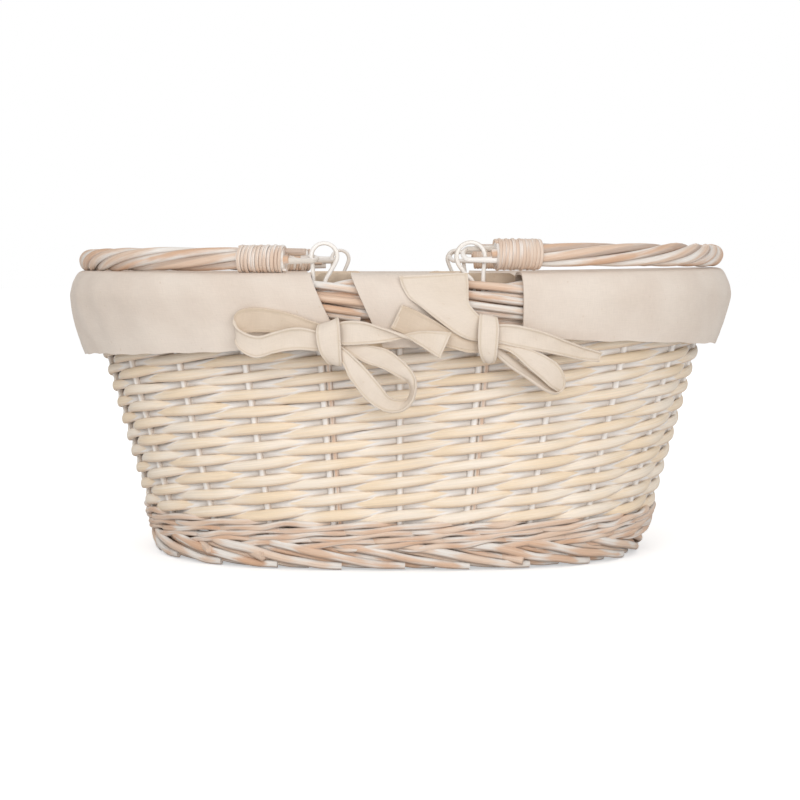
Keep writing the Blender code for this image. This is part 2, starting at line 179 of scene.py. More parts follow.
def on_wall(share, z, out):
    """Points out from the flared wall's outer face, and their outward directions."""
    half_length = WEAVE_LOW[0] + FLARE[0] * (z - WEAVE_LOW[2]) + END_FULLNESS
    half_depth = WEAVE_LOW[1] + FLARE[1] * (z - WEAVE_LOW[2])
    return on_outline(share, z, out, (half_length, half_depth))


def on_foot(share, z, out):
    """The same at the foot, proud of the wall at four corners and tucked in at both ends."""
    side = np.sin(math.tau * share)
    tuck = (FOOT_TUCK + FOOT_TUCK_LEAN * side) * side ** 4
    return on_wall(share, z, out + FOOT_CORNER * np.sin(4.0 * math.pi * share) ** 2 - tuck)


def on_rim(share, z, out):
    """Points out from the rim border's outer face, and their outward directions."""
    return on_outline(share, z, out, (RIM.x, RIM.y))


# ---- strands ----
def unit(vectors):
    return vectors / np.maximum(np.linalg.norm(vectors, axis=-1, keepdims=True), 1e-12)


def wander(seed, count, size, waves):
    """A smooth random drift of about the given size along a strand."""
    rng = np.random.default_rng(seed)
    place = np.linspace(0.0, 1.0, count)
    drift = np.zeros(count)
    for _ in range(4):
        turns = rng.uniform(0.4, 1.0) * waves
        drift += rng.uniform(-1.0, 1.0) * np.sin(math.tau * (turns * place + rng.random()))
    return drift * size / 1.6


def distances(points):
    """How far along their line each of the points is."""
    steps = np.linalg.norm(np.diff(points, axis=0), axis=1)
    return np.concatenate(([0.0], np.cumsum(steps)))


def even(points, rows):
    """The same line as points, as rows evenly spaced along it."""
    lengths = distances(points)
    places = np.linspace(0.0, lengths[-1], rows)
    return np.stack([np.interp(places, lengths, column) for column in points.T], axis=1)


def smooth(knots, rows):
    """Evenly spaced points on a smooth curve through the knots."""
    knots = np.asarray(knots, float)
    spare = np.vstack([2.0 * knots[0] - knots[1], knots, 2.0 * knots[-1] - knots[-2]])
    t = np.linspace(0.0, 1.0, 24, endpoint=False)[:, None]
    pieces = []
    for index in range(len(knots) - 1):
        a, b, c, d = spare[index:index + 4]
        pieces.append(b + 0.5 * t * (c - a + t * (2.0 * a - 5.0 * b + 4.0 * c - d
                                                  + t * (3.0 * (b - c) + d - a))))
    pieces.append(knots[-1:])
    return even(np.vstack(pieces), rows)


def ripple(u, v, seed, size, length):
    """Gentle folds over a sheet: crossing waves of about the given length."""
    rng = np.random.default_rng(seed)
    height = np.zeros(np.broadcast(u, v).shape)
    for _ in range(7):
        turn = rng.uniform(0.0, math.pi)
        wave = length * rng.uniform(0.55, 1.6)
        across = u * math.cos(turn) + v * math.sin(turn)
        height += rng.uniform(0.4, 1.0) * np.sin(math.tau * (across / wave + rng.random()))
    return height * size / 2.2


def add_attribute(mesh, name, kind, data):
    """Give each point of a mesh a FLOAT or a FLOAT_VECTOR for its shading."""
    layer = mesh.attributes.new(name, kind, "POINT")
    values = data.astype(np.float32).reshape(-1)
    layer.data.foreach_set("value" if kind == "FLOAT" else "vector", values)


def quads(a, b, c, d, flip=False):
    """Faces between four equal arrays of corners, the other way round if flipped."""
    corners = np.stack([a, b, c, d], axis=-1).reshape(-1, 4)
    return (corners[:, ::-1] if flip else corners).tolist()


class Skin:
    """Strands of one material, gathered into one mesh with attributes for its shading."""

    def __init__(self):
        self.points = []
        self.faces = []
        self.values = {"rod": [], "crest": [], "side": [], "tone": []}
        self.count = 0

    def strand(self, path, reference, half_out, half_up, crest=0.0, tone=0.5, sides=ROD_SIDES):
        """Sweep an oval rod along path; reference points to the side that shows."""
        rows = len(path)
        tangent = unit(np.gradient(path, axis=0))
        reference = np.broadcast_to(reference, path.shape)
        along_tangent = (reference * tangent).sum(axis=1, keepdims=True)
        out = unit(reference - along_tangent * tangent)
        up = np.cross(out, tangent)
        turn = np.linspace(0.0, math.tau, sides, endpoint=False)
        half_out = np.broadcast_to(half_out, rows)[:, None]
        half_up = np.broadcast_to(half_up, rows)[:, None]
        cosine = np.tile(np.cos(turn), (rows, 1))
        sine = np.tile(np.sin(turn), (rows, 1))
        ring = (path[:, None, :] + (half_out * cosine)[..., None] * out[:, None, :]
                + (half_up * sine)[..., None] * up[:, None, :])
        offset = self.count * 0.173
        rod = np.stack([distances(path)[:, None] + offset + 0.0 * cosine,
                        half_up * cosine + offset, half_up * sine], axis=-1)
        index = self.count + np.arange(rows * sides).reshape(rows, sides)
        across = np.roll(index, -1, axis=1)
        self.points.append(ring.reshape(-1, 3))
        self.faces += quads(index[:-1], index[1:], across[1:], across[:-1])
        self.faces.append(index[0].tolist())
        self.faces.append(index[-1][::-1].tolist())
        self.values["rod"].append(rod.reshape(-1, 3))
        for key, value in (("crest", crest), ("tone", tone)):
            value = np.asarray(value, float)
            value = value if value.ndim == 2 else value.reshape(-1, 1)
            self.values[key].append(np.broadcast_to(value, (rows, sides)).reshape(-1))
        self.values["side"].append(sine.reshape(-1))
        self.count += rows * sides

    def build(self, name, material, slot, replaced=(), body="basket"):
        """Join the strands into one piece."""
        mesh = bpy.data.meshes.new(name)
        mesh.from_pydata(np.concatenate(self.points).tolist(), [], self.faces)
        for key, parts in self.values.items():
            kind = "FLOAT_VECTOR" if key == "rod" else "FLOAT"
            add_attribute(mesh, key, kind, np.concatenate(parts))
        mesh.shade_smooth()
        mesh.set_sharp_from_angle(angle=math.radians(50.0))
        mesh.materials.append(material)
        return place(name, mesh, slot, replaced, body)


def place(name, mesh, slot, replaced=(), body="basket"):
    """Put a mesh in the scene as a piece that rides a body in place of its CAD nodes."""
    piece = bpy.data.objects.new(name, mesh)
    bpy.context.scene.collection.objects.link(piece)
    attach(piece, body)
    if replaced:
        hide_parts(*replaced)
    return piece


def shell(name, grid, half, inset=NO_SEAM, closed=False, flat=None):
    """A solid sheet of cloth round a grid of middle points, stitched the inset from its edges.

    Its own lengths along and across are its flat places, unless these are given. A closed
    sheet runs right round, and the hole left inside its last column is filled.
    """
    rows, columns = grid.shape[:2]
    if closed:
        ahead = np.roll(grid, -1, axis=0) - np.roll(grid, 1, axis=0)
    else:
        ahead = np.gradient(grid, axis=0)
    normal = unit(np.cross(ahead, np.gradient(grid, axis=1)))
    half = np.broadcast_to(half, (rows, columns))[..., None]
    layers = np.stack([grid + normal * half, grid - normal * half])
    top, under = np.arange(2 * rows * columns).reshape(2, rows, columns)
    next_top, next_under = np.roll(top, -1, axis=0), np.roll(under, -1, axis=0)
    spans = rows if closed else rows - 1
    faces = []
    for here, there, flip in ((top, next_top, False), (under, next_under, True)):
        faces += quads(here[:spans, :-1], there[:spans, :-1], there[:spans, 1:],
                       here[:spans, 1:], flip)
    side_walls = ((0, False),) if closed else ((0, False), (-1, True))
    for column, flip in side_walls:
        faces += quads(top[:spans, column], under[:spans, column],
                       next_under[:spans, column], next_top[:spans, column], flip)
    if closed:
        faces += [top[:, -1].tolist(), under[::-1, -1].tolist()]
    else:
        for row, flip in ((0, True), (rows - 1, False)):
            faces += quads(top[row, :-1], under[row, :-1], under[row, 1:], top[row, 1:], flip)
    mesh = bpy.data.meshes.new(name)
    mesh.from_pydata(layers.reshape(-1, 3).tolist(), [], faces)
    along = np.concatenate(([0.0], np.cumsum(
        np.linalg.norm(np.diff(grid, axis=0), axis=2).mean(axis=1))))
    across = np.concatenate((np.zeros((rows, 1)), np.cumsum(
        np.linalg.norm(np.diff(grid, axis=1), axis=2), axis=1)), axis=1)
    if flat is None:
        flat = np.stack([along[:, None] + 0.0 * across, across, 0.0 * across], axis=-1)
    seam = np.abs(np.minimum(across, across[:, -1:] - across) - inset)
    if not closed:
        ends = np.minimum(along, along[-1] - along)[:, None]
        seam = np.minimum(seam, np.abs(ends - inset))
    add_attribute(mesh, "cloth", "FLOAT_VECTOR", np.stack([flat, flat]))
    add_attribute(mesh, "seam", "FLOAT", np.stack([seam, seam]))
    mesh.shade_smooth()
    mesh.set_sharp_from_angle(angle=math.radians(60.0))
    return mesh


# ---- materials ----
class Nodes:
    """Short names for building a node tree that ends in one Principled shader."""

    def __init__(self, name):
        self.material = bpy.data.materials.new(name)
        self.material.use_nodes = True
        self.tree = self.material.node_tree
        self.shader = self.tree.nodes["Principled BSDF"]

    def feed(self, socket, value):
        """Link an input to another node's output, or give it a plain value."""
        if isinstance(value, bpy.types.NodeSocket):
            self.tree.links.new(value, socket)
        else:
            socket.default_value = value

    def add(self, kind, inputs=None, **settings):
        node = self.tree.nodes.new(kind)
        for key, value in settings.items():
            setattr(node, key, value)
        for key, value in (inputs or {}).items():
            self.feed(node.inputs[key], value)
        return node

    def attribute(self, name, output="Fac"):
        return self.add("ShaderNodeAttribute", attribute_name=name).outputs[output]

    def math(self, operation, first, second=0.0):
        return self.add("ShaderNodeMath", {0: first, 1: second}, operation=operation).outputs[0]

    def plus(self, first, second):
        return self.math("ADD", first, second)

    def times(self, first, second):
        return self.math("MULTIPLY", first, second)

    def noise(self, vector, scale, detail=3.0, stretch=(1.0, 1.0, 1.0), roughness=0.5):
        moved = self.add("ShaderNodeMapping", {"Vector": vector, "Scale": stretch})
        node = self.add("ShaderNodeTexNoise", {"Vector": moved.outputs[0], "Scale": scale,
                                               "Detail": detail, "Roughness": roughness})
        return node.outputs["Fac"]

    def ramp(self, value, low, high, start=0.0, end=1.0):
        node = self.add("ShaderNodeMapRange", {"Value": value, "From Min": low, "From Max": high,
                                               "To Min": start, "To Max": end})
        node.interpolation_type = "SMOOTHSTEP"
        return node.outputs[0]

    def mix(self, factor, first, second, blend="MIX"):
        node = self.add("ShaderNodeMix", {0: factor, 6: first, 7: second}, data_type="RGBA",
                        blend_type=blend)
        return node.outputs[2]

    def grained(self, colour, shade):
        """A colour made lighter and darker by a shade that varies about one."""
        grey = self.add("ShaderNodeCombineColor", {0: shade, 1: shade, 2: shade}).outputs[0]
        return self.mix(1.0, colour, grey, "MULTIPLY")

    def bump(self, height, distance, strength=1.0):
        node = self.add("ShaderNodeBump", {"Height": height, "Distance": distance,
                                           "Strength": strength})
        self.tree.links.new(node.outputs[0], self.shader.inputs["Normal"])

    def finish(self, colour, roughness):
        self.feed(self.shader.inputs["Base Color"], colour)
        self.feed(self.shader.inputs["Roughness"], roughness)
        return self.material


def linear(colour):
    """An sRGB colour of 0 to 255 as linear light with alpha; for channels above 10 only."""
    return tuple(((value / 255.0 + 0.055) / 1.055) ** 2.4 for value in colour) + (1.0,)


def willow(name, pale, warm, paint, paint_low, paint_high, under, edges=0.30):
    """Peeled rod colours under a rubbed-back white wash, darkened towards the under colour as
    painted shade along each rod's underside and in its deepest recesses.
    """
    pale, warm, paint, under = map(linear, (pale, warm, paint, under))
    nodes = Nodes(name)
    rod = nodes.attribute("rod", "Vector")
    streaks = nodes.noise(rod, 60.0, 4.0, (0.35, 14.0, 14.0), 0.6)
    blotches = nodes.noise(rod, 55.0, 3.0, (0.8, 3.0, 3.0))
    fibres = nodes.noise(rod, 260.0, 3.0, (0.12, 9.0, 9.0), 0.55)
    tone = nodes.attribute("tone")
    warmth = nodes.plus(nodes.times(streaks, 0.9), nodes.times(tone, 0.45))
    wood = nodes.mix(nodes.ramp(warmth, 0.35, 1.0), pale, warm)
    crest = nodes.attribute("crest")
    side = nodes.attribute("side")
    cover = nodes.math("SUBTRACT", nodes.times(nodes.math("ABSOLUTE", side), edges), crest)
    cover = nodes.plus(cover, nodes.times(blotches, 1.3))
    cover = nodes.plus(cover, nodes.times(streaks, 0.9))
    cover = nodes.ramp(cover, paint_low, paint_high)
    colour = nodes.mix(cover, wood, paint)
    # Painted shade: the lower side of each rod, and the parts pushed furthest in (lowest crest),
    # are mixed towards the darker under colour.
    painted_underside_shade = nodes.ramp(nodes.plus(side, nodes.times(streaks, 0.3)), -0.15, -0.75)
    painted_recess_shade = nodes.ramp(crest, -0.80, -1.45)
    shaded = nodes.math("MAXIMUM", painted_underside_shade, nodes.times(painted_recess_shade, 0.25))
    colour = nodes.mix(nodes.times(shaded, 0.75), colour, under)
    colour = nodes.grained(colour, nodes.ramp(fibres, 0.25, 0.75, 0.90, 1.04))
    nodes.bump(nodes.plus(nodes.times(fibres, 0.5), nodes.times(cover, 0.35)), 0.0004, 0.6)
    return nodes.finish(colour, nodes.ramp(cover, 0.0, 1.0, 0.52, 0.72))


WHITEWASH = (248, 243, 238)

# The colour after the two paint thresholds is each material's painted shade, for rod undersides and
# recesses.
PEELED = willow("peeled_willow", (250, 237, 220), (246, 224, 194), WHITEWASH, 1.33, 1.73,
                (226, 201, 176), 0.46)
WHITE = willow("white_willow", (238, 229, 218), (226, 206, 182), WHITEWASH, 0.1, 1.0,
               (222, 206, 190))
BROWNED = willow("washed_willow", (232, 209, 189), (216, 176, 145), (238, 232, 225),
                 0.98, 1.68, (182, 155, 136), 0.60)
BOUND = willow("bound_cane", (232, 214, 198), (222, 194, 172), WHITEWASH, 1.00, 1.90,
               (212, 188, 170), 0.6)
CANE = willow("cane", (242, 236, 226), (232, 216, 196), WHITEWASH, 0.3, 1.3, (214, 202, 188))


def cotton(name, pale, deep):
    """Unbleached calico: slubby threads both ways, a few seed flecks and stitched seams."""
    pale, deep, fleck, thread = map(linear, (pale, deep, (196, 168, 136), (204, 184, 158)))
    nodes = Nodes(name)
    cloth = nodes.attribute("cloth", "Vector")
    warp = nodes.noise(cloth, 1500.0, 2.0, (0.10, 1.0, 1.0), 0.6)
    weft = nodes.noise(cloth, 1500.0, 2.0, (1.0, 0.10, 1.0), 0.6)
    threads = nodes.plus(warp, weft)
    cloud = nodes.noise(cloth, 28.0, 3.0)
    flecks = nodes.ramp(nodes.noise(cloth, 420.0, 1.0, (1.0, 0.55, 1.0)), 0.73, 0.78)
    seam = nodes.ramp(nodes.attribute("seam"), 0.0008, 0.0002)
    colour = nodes.mix(nodes.ramp(cloud, 0.3, 0.7), pale, deep)
    colour = nodes.grained(colour, nodes.ramp(threads, 0.7, 1.3, 0.97, 1.02))
    colour = nodes.mix(nodes.times(flecks, 0.25), colour, fleck)
    colour = nodes.mix(nodes.times(seam, 0.45), colour, thread)
    height = nodes.math("SUBTRACT", nodes.times(threads, 0.5), nodes.times(seam, 1.6))
    nodes.bump(height, 0.00025, 0.4)
    nodes.shader.inputs["Sheen Weight"].default_value = 0.10
    nodes.shader.inputs["Sheen Roughness"].default_value = 0.6
    return nodes.finish(colour, nodes.ramp(threads, 0.6, 1.4, 0.95, 0.82))


COTTON = cotton("cotton", (229, 216, 203), (222, 207, 193))
COTTON_TAPE = cotton("cotton_tape", (228, 214, 199), (221, 205, 187))
# A darker copy of the cotton: painted shade for the shadowed faces of the ribbons.
COTTON_PAINTED_FOLD_SHADE = cotton("cotton_painted_fold_shade", (218, 200, 180), (209, 189, 167))
# A darker, tan copy of the cotton: painted shade for the lining inside the basket.
COTTON_PAINTED_SHADE = cotton("cotton_painted_shade", (226, 208, 186), (219, 199, 176))


# ---- willow body ----
def stake_line(share, steps=24):
    """Points up the line of a stake, and their outward directions."""
    low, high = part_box("stake_01")
    return on_wall(np.full(steps, share), np.linspace(low.z, high.z, steps), -STAKE_INSET)


def add_stakes():
    """Upright stakes, and the darker liner rods beside the four that carry the rings."""
    skin = Skin()
    for index in range(STAKES):
        path, out = stake_line(index / STAKES)
        path = path + out * wander(200 + index, len(path), 0.0002, 3.0)[:, None]
        skin.strand(path, out, STAKE_RADIUS, STAKE_RADIUS * 1.05, tone=(index * 0.37) % 1.0)
    nodes = [f"stake_{index + 1:02d}" for index in range(STAKES)]
    skin.build("stakes", WHITE, "white_willow", nodes)
    liners = Skin()
    for index in (-1, 1, STAKES // 2 - 1, STAKES // 2 + 1):
        path, out = stake_line(index / STAKES + LINER_OFFSET)
        liners.strand(path, out, 0.0017, 0.0018, tone=0.8)
    liners.build("ring_liners", BROWNED, "washed_willow")


def leaf_paint(spans, seed):
    """Bare wood where a rod shows in front of a stake, with white at its two pointed ends."""
    turn = np.linspace(0.0, math.tau, RAND_SIDES, endpoint=False)[None, :]
    phase = math.pi * spans[:, None]
    lean = 0.22 * np.sin(turn) * np.sin(phase)
    along = np.cos(phase) + lean + 0.55 * np.abs(np.sin(turn)) - 0.25
    drift = wander(seed, len(spans), 0.16, 26.0)[:, None]
    # Its lowest values, where the rod passes behind a stake, also bring in the willow material's
    # painted recess shade.
    return 0.75 * np.clip(-2.2 * along + 0.10, -2.1, 1.0) + drift


def add_side_weave():
    """French randing: one rod starts behind each stake and climbs to the right."""
    skin = Skin()
    low = WEAVE_LOW[2] - 0.0020
    span = (WEAVE_HIGH[2] - RAND_HALF_HEIGHT - low) / RAND_RISE
    rows = int(span * 12)
    for index in range(STAKES):
        spans = np.linspace(0.0, span, rows)
        swing = -RAND_SWING * np.cos(math.pi * spans)
        taper = np.linspace(1.07, 0.96, rows) * (1.0 + wander(index, rows, 0.05, 22.0))
        z = low + RAND_RISE * spans + wander(50 + index, rows, 0.0005, 18.0)
        path, out = on_wall((index + spans) / STAKES, z, swing - STAKE_INSET)
        full = 0.88 + 0.15 * np.abs(np.cos(math.pi * spans))
        tone = (index * 0.618) % 1.0 + wander(700 + index, rows, 0.45, 24.0)
        skin.strand(path, out, RAND_HALF_DEPTH * taper, RAND_HALF_HEIGHT * taper * full,
                    crest=leaf_paint(spans, 800 + index), tone=tone, sides=RAND_SIDES)
    skin.build("side_weave_rods", PEELED, "peeled_willow", ["side_weave"])


def add_wale(node, lift, rounds, seed):
    """Rounds of three rods, each outside two stakes and inside the third."""
    skin = Skin()
    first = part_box(node)[0].z + lift
    rows = (STAKES + 1) * 12
    spans = np.linspace(0.0, STAKES + 0.5, rows)
    phase = math.tau * spans / 3.0
    for level in range(rounds):
        for strand in range(3):
            drift = wander(seed + 10 * level + strand, rows, 1.0, 34.0)
            swing = WALE_SWING * np.tanh(2.0 * (0.30 - np.cos(phase)))
            swing = swing + 0.0004 * np.roll(drift, 60)
            z = first + WALE_PITCH * level - WALE_HALF_RISE * np.sin(phase) + 0.0007 * drift
            size = WALE_ROD_RADIUS * (1.0 + 0.14 * np.roll(drift, 40))
            share = (spans + strand + 0.35 + 0.55 * level) / STAKES
            path, out = on_wall(share, z, swing - STAKE_INSET)
            paint = 0.02 + 0.10 * swing / WALE_SWING + 0.35 * np.roll(drift, 75)
            skin.strand(path, out, size, size * 1.04, crest=paint,
                        tone=0.5 + 0.5 * np.roll(drift, 90))
    skin.build(f"{node}_rods", BROWNED, "washed_willow", [node])


def turned_down(skin, knots, count, seed, half_out, half_up, place_on, shift=0.0, level=0.0):
    """One rod from each stake, bent along the way round through (span, z, out) knots."""
    span_length = (0.04, 1.0, 1.0)
    knots = np.array(knots) + (0.0, level, 0.0)
    line = smooth(knots * span_length, count) / span_length
    cut_end = 0.9 * np.clip((np.linspace(0.0, 1.0, count) - 0.88) / 0.10, 0.0, 1.0)
    for index in range(STAKES):
        z = line[:, 1] + wander(seed + index, count, 0.0005, 2.5)
        start = index + shift + 0.05 * math.sin(3.1 * index + seed)
        path, direction = place_on((start + line[:, 0]) / STAKES, z, line[:, 2])
        taper = np.linspace(1.06, 0.90, count) * (1.0 + wander(seed + 60 + index, count, 0.06, 3.0))
        paint = 0.15 + wander(seed + 30 + index, count, 0.5, 3.0) - cut_end
        skin.strand(path, direction, half_out * taper, half_up * taper, crest=paint,
                    tone=0.5 + 0.5 * math.sin(2.4 * index + seed))


def add_foot_border():
    """Each rod comes down from a stake, turns right and ends under the next ones."""
    skin = Skin()
    outer = ((-0.12, 0.0195, -0.0056), (0.04, 0.0174, -0.0028), (0.45, 0.0140, -0.0004),
             (1.00, 0.0092, 0.0004), (1.45, 0.0058, 0.0003), (1.75, 0.0037, 0.0000),
             (2.08, 0.0031, -0.0010))
    beside = ((-0.06, 0.0185, -0.0080), (0.10, 0.0160, -0.0060), (0.50, 0.0128, -0.0040),
              (1.00, 0.0084, -0.0032), (1.40, 0.0052, -0.0034), (1.70, 0.0035, -0.0040),
              (2.02, 0.0030, -0.0052))
    inner = ((0.00, 0.0135, -0.0094), (0.80, 0.0105, -0.0092), (1.90, 0.0042, -0.0078))
    turned_down(skin, outer, 44, 400, 0.0021, 0.0028, on_foot)
    turned_down(skin, beside, 44, 440, 0.0019, 0.0022, on_foot, shift=0.56)
    turned_down(skin, inner, 30, 500, 0.0026, 0.0029, on_foot)
    for share, z, size in ((-0.092, 0.0085, 0.0030), (-0.130, 0.0105, 0.0026),
                           (0.075, 0.0060, 0.0026)):
        path, direction = on_foot(share + np.linspace(-0.014, 0.004, 8),
                                  z + np.linspace(0.004, 0.0, 8), np.linspace(-0.0075, 0.0030, 8))
        skin.strand(path, direction, size, size, crest=0.5, tone=0.1)
    skin.build("foot_border_rods", BROWNED, "washed_willow", ["foot_border"])


def add_rim_border():
    """Rods that lie round the rim, each over the ends of those before it."""
    skin = Skin()
    lay = ((-0.05, -0.0190, -0.0120), (0.05, -0.0090, -0.0105), (0.45, -0.0022, -0.0080),
           (1.00, -0.0030, -0.0050), (1.70, -0.0075, -0.0030), (2.50, -0.0130, -0.0022),
           (3.30, -0.0185, -0.0028), (3.80, -0.0215, -0.0062))
    beneath = ((-0.05, -0.0200, -0.0135), (0.60, -0.0085, -0.0090), (1.40, -0.0105, -0.0060),
               (2.30, -0.0175, -0.0050), (3.10, -0.0235, -0.0054))
    inner = ((-0.20, -0.0150, -0.0155), (0.80, -0.0060, -0.0160), (1.80, -0.0030, -0.0125),
             (2.20, -0.0040, -0.0100))
    turned_down(skin, lay, 90, 600, 0.0024, 0.0026, on_rim, level=RIM.z)
    turned_down(skin, beneath, 60, 640, 0.0022, 0.0025, on_rim, shift=0.5, level=RIM.z)
    turned_down(skin, beneath, 60, 670, 0.0021, 0.0022, on_rim, level=RIM.z)
    turned_down(skin, inner, 40, 700, 0.0023, 0.0024, on_rim, level=RIM.z)
    skin.build("rim_border_rods", BROWNED, "washed_willow", ["rim_border"])


def add_base():
    """Sticks one way and the other, with rods woven over and under them in oval rounds."""
    sticks = Skin()
    names = [f"base_long_stick_{n}" for n in (1, 2, 3)]
    names += [f"base_cross_stick_{n}" for n in (1, 2, 3, 4)]
    downward = np.array((0.0, 0.0, -1.0))
    for index, name in enumerate(names):
        low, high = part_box(name)
        middle = (low + high) / 2.0
        radius = (high.z - low.z) / 2.0
        axis = 0 if high.x - low.x > high.y - low.y else 1
        path = np.tile(np.array(middle), (16, 1))
        path[:, axis] = np.linspace(low[axis], high[axis], 16)
        sticks.strand(path, downward, radius, radius, tone=index * 0.15)
    sticks.build("base_sticks", WHITE, "white_willow", names)
    rounds = Skin()
    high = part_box("base_weave")[1]
    level = middle_height("base_weave")
    count = int((high.y - BASE_FIRST) / BASE_PITCH)
    for index in range(count):
        half_depth = BASE_FIRST + BASE_PITCH * index
        half_length = half_depth + (high.x - high.y) * (0.55 + 0.45 * index / (count - 1))
        angle = np.linspace(0.0, math.tau * 1.004, 200)
        x, y = superellipse(angle, (half_length - 0.002, half_depth))
        wave = np.cos(7.0 * angle + math.pi * index)
        path = np.stack([x, y, level + 0.0027 * wave], axis=-1)
        rounds.strand(path, downward, 0.0019, 0.0021, crest=-wave * 0.5,
                      tone=(index * 0.37) % 1.0, sides=8)
    rounds.build("base_weave_rods", PEELED, "peeled_willow", ["base_weave"])


# ---- handles ----
def hoop_line(side, angles, rows, mirror=1.0):
    """Points and outward directions along a handle's centre line between two plan angles."""
    row = HANDLES[side]
    axes = (abs(row["end_x"]), HOOP_HALF_DEPTH)
    x, y = superellipse(np.linspace(angles[0], angles[1], rows * 4), axes)
    x, y = even(np.stack([x, y], axis=1), rows).T
    out_x, out_y = straight_out(x, y, axes)
    z = middle_height(f"handle_{side}_hoop") - row["sag"] * np.abs(x / axes[0]) ** 6
    sense = (ENDS[side], mirror, 1.0)
    return np.stack([x, y, z], axis=1) * sense, np.stack([out_x, out_y, 0.0 * z], axis=1) * sense


def hoop_angle(side, x):
    """The plan angle at which a handle's centre line reaches x."""
    return math.acos((abs(x) / abs(HANDLES[side]["end_x"])) ** (SQUARENESS / 2.0))


def round_bundle(line, out, radius, turn):
    """Points at a turning angle round a line, and the directions they lie in."""
    up = unit(np.cross(out, unit(np.gradient(line, axis=0))))
    spoke = np.cos(turn)[:, None] * out + np.sin(turn)[:, None] * up
    return line + np.reshape(radius, (-1, 1)) * spoke, spoke


def add_hoop(side):
    """Rods twisted round each other, laid almost straight near the two bindings."""
    row = HANDLES[side]
    skin = Skin()
    rows = 300
    near = row["binding_x"][0]
    start = hoop_angle(side, near - ENDS[side] * 0.0030)
    line, out = hoop_line(side, (-start, start), rows)
    place = np.linspace(0.0, 1.0, rows)
    turns_per_metre = 3.9 + 11.0 * np.sin(math.pi * place) ** 4
    twist = np.cumsum(math.tau * turns_per_metre) * distances(line)[-1] / rows
    seed = 900 if side == "left" else 950
    bound = np.minimum(1.0, 0.86 + 0.14 * np.minimum(place, 1.0 - place) / 0.08)
    for index in range(HOOP_RODS):
        radius = HOOP_ROD_RADIUS * (1.0 + wander(seed + index, rows, 0.07, 6.0))
        turn = twist + math.tau * index / HOOP_RODS
        turn = turn + wander(seed + 20 + index, rows, 0.08, 5.0)
        reach = (HOOP_RADIUS - HOOP_ROD_RADIUS) * bound
        reach = reach + wander(seed + 40 + index, rows, 0.0004, 7.0)
        path, spoke = round_bundle(line, out, reach, turn)
        kept = slice((index * 7) % 5, rows - (index * 3) % 5)
        path, spoke, radius = path[kept], spoke[kept], radius[kept]
        rough = 0.7 if side == "right" and index == 1 else 0.0
        worn = rough * np.clip(1.0 - np.linspace(0.0, 4.0, len(path)), 0.0, 1.0)
        paint = 0.20 + wander(seed + 60 + index, len(path), 0.30, 9.0) - worn
        skin.strand(path, spoke, radius * 0.98, radius * 1.05, crest=paint,
                    tone=0.5 + 0.4 * math.sin(2.1 * index + seed), sides=12)
    if row["stub"]:
        for mirror in WAYS.values():
            add_stubs(skin, side, mirror)
    body = f"handle_{side}"
    skin.build(f"{body}_rods", BROWNED, "washed_willow", [f"{body}_hoop"], body)


def add_stubs(skin, side, mirror):
    """Rod ends left long past the binding, beside the eye."""
    row = HANDLES[side]
    near = row["binding_x"][0]
    reach = near - ENDS[side] * row["stub"]
    angles = [hoop_angle(side, x) for x in (near + ENDS[side] * 0.004, reach)]
    line, out = hoop_line(side, angles, 20, mirror)
    for turn, size, share in ((1.75, 0.0021, 1.0), (2.75, 0.0019, 0.8)):
        path, spoke = round_bundle(line, out, np.linspace(0.0048, 0.0044, 20), np.full(20, turn))
        count = int(20 * share)
        skin.strand(path[:count], spoke[:count], size, size, crest=0.1, tone=0.2)


def add_binding(side, place):
    """Flat cane wound tightly round the end of the hoop's rods."""
    row = HANDLES[side]
    rows = int(row["wraps"] * 24)
    line, out = hoop_line(side, [hoop_angle(side, x) for x in row["binding_x"]], rows, WAYS[place])
    seed = 1000 + (0 if side == "left" else 10) + (0 if place == "front" else 5)
    turn = math.tau * row["wraps"] * np.linspace(0.0, 1.0, rows)
    turn = turn + wander(seed, rows, 0.25, 6.0) + 1.0
    radius = row["radius"] - 0.0007 + wander(seed + 1, rows, 0.00025, 9.0)
    path, spoke = round_bundle(line, out, radius, turn)
    skin = Skin()
    width = 0.00116 * (1.0 + wander(seed + 2, rows, 0.12, 8.0))
    paint, tone = row["binding_paint"]
    skin.strand(path, spoke, 0.00075, width, crest=paint + wander(seed + 3, rows, 0.6, 30.0),
                tone=tone + wander(seed + 4, rows, 0.6, 30.0))
    core = row["radius"] - 0.0013
    skin.strand(line, out, core, core, crest=-0.5, tone=0.9, sides=16)
    body = f"handle_{side}"
    skin.build(f"{body}_wraps_{place}", BOUND, "cane", [f"{body}_binding_{place}"], body)


